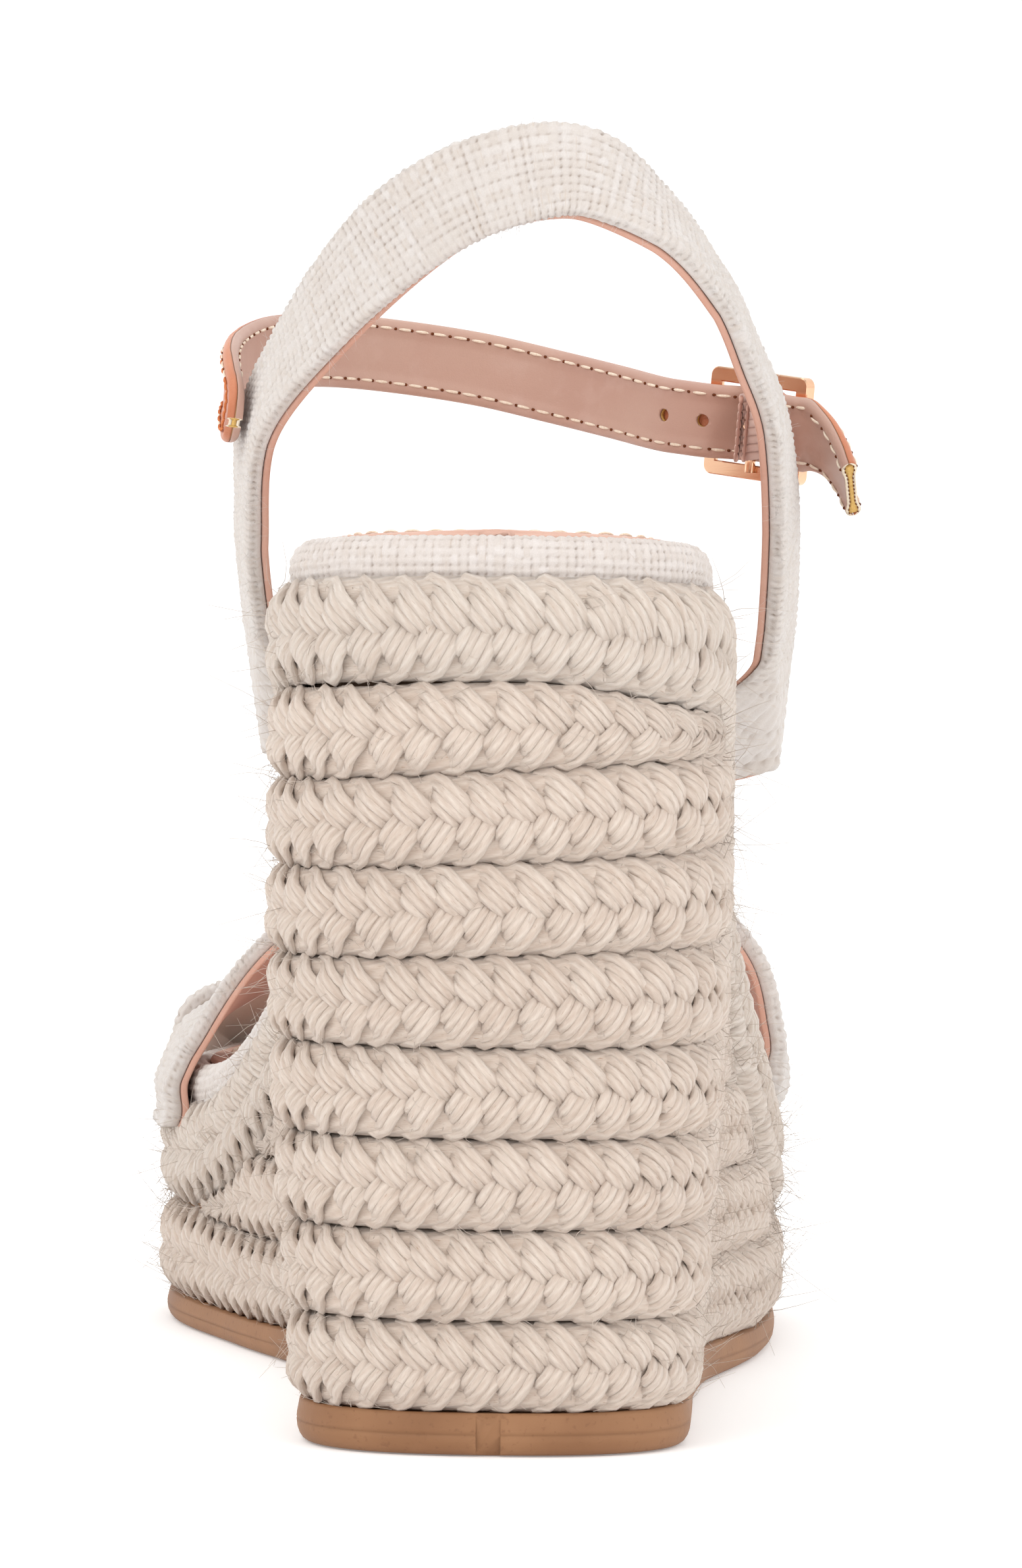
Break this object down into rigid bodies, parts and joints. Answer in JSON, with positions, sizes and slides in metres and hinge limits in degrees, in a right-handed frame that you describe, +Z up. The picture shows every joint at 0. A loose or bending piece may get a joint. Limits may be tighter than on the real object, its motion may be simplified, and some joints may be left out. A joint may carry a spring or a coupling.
{
  "type": "wedge sandal",
  "caption": "Open-toe braided-jute wedge sandal with linen toe, instep and halter straps and a buckled leather ankle strap.",
  "frame": {"origin": "on the ground, at the centre of the heel's bearing face under the heel seat", "axes": "+Y to the toe, +X to the wearer's right (outer side of this right shoe), +Z up from the ground"},
  "size_m": [0.1025, 0.2286, 0.1668],
  "materials": {
    "jute": "flat three-strand plaits of natural jute, fuzzy, matte",
    "jute_border": "the widest plait row, paler at the edge, fuzzy, matte",
    "rand_linen": "plain-weave linen with slubs, matte",
    "strap_linen": "plain-weave linen with slubs and frayed edges, matte",
    "lining_leather": "pink lining leather, soft sheen",
    "strap_lining_leather": "pink lining leather with cream edge stitching",
    "toe_lining_leather": "pale lining leather",
    "tan_leather": "smooth tan leather, soft sheen",
    "sock_leather": "pink sock leather, suede-like, stitched seam",
    "strap_filler": "golden paper-fibre filler between the leathers",
    "cushion_foam": "open-cell foam",
    "insole_board": "cellulose insole board",
    "wedge_filler": "light cork and foam wedge core",
    "sole_rubber": "tan rubber with a faint parting line, satin",
    "elastic": "ribbed pale pink elastic webbing",
    "rose_gold": "rose gold plate, polished",
    "rose_gold_prong": "rose gold plate, polished wire"
  },
  "bodies": {
    "sandal": {"outsole": "sole_rubber", "wedge_core": "wedge_filler", "insole_board": "insole_board", "footbed_cushion": "cushion_foam", "sock_lining": "sock_leather", "jute_row_1": "jute", "jute_row_2": "jute", "jute_row_3": "jute", "jute_row_4": "jute", "jute_row_5": "jute", "jute_row_6": "jute", "jute_row_7": "jute", "jute_row_8": "jute", "jute_border_row": "jute_border", "footbed_edge_wrap": "rand_linen", "halter_strap": "strap_linen", "halter_strap_lining": "lining_leather", "instep_band": "strap_linen", "instep_band_lining": "lining_leather", "toe_band": "strap_linen", "toe_band_lining": "toe_lining_leather", "ankle_strap": "tan_leather", "ankle_strap_filler": "strap_filler", "ankle_strap_lining": "strap_lining_leather", "elastic_chape": "elastic"},
    "buckle": {"buckle_frame": "rose_gold"},
    "prong": {"buckle_prong": "rose_gold_prong"},
    "tail": {"strap_tail": "tan_leather", "strap_tail_filler": "strap_filler", "strap_tail_lining": "strap_lining_leather"}
  },
  "joints": [
    {"name": "buckle_swing", "type": "hinge", "parent": "sandal", "child": "buckle", "pos_m": [0.0314, 0.0388, 0.1285], "axis": [0.0796, -0.0597, 0.995], "range_deg": [-3, 3]},
    {"name": "prong_hinge", "type": "hinge", "parent": "buckle", "child": "prong", "pos_m": [0.0314, 0.0388, 0.1285], "axis": [0.0796, -0.0597, 0.995], "range_deg": [0, 38]},
    {"name": "tail_flex", "type": "hinge", "parent": "sandal", "child": "tail", "pos_m": [0.039, 0.0304, 0.1274], "axis": [0.0796, -0.0597, 0.995], "range_deg": [-18, 25]}
  ]
}
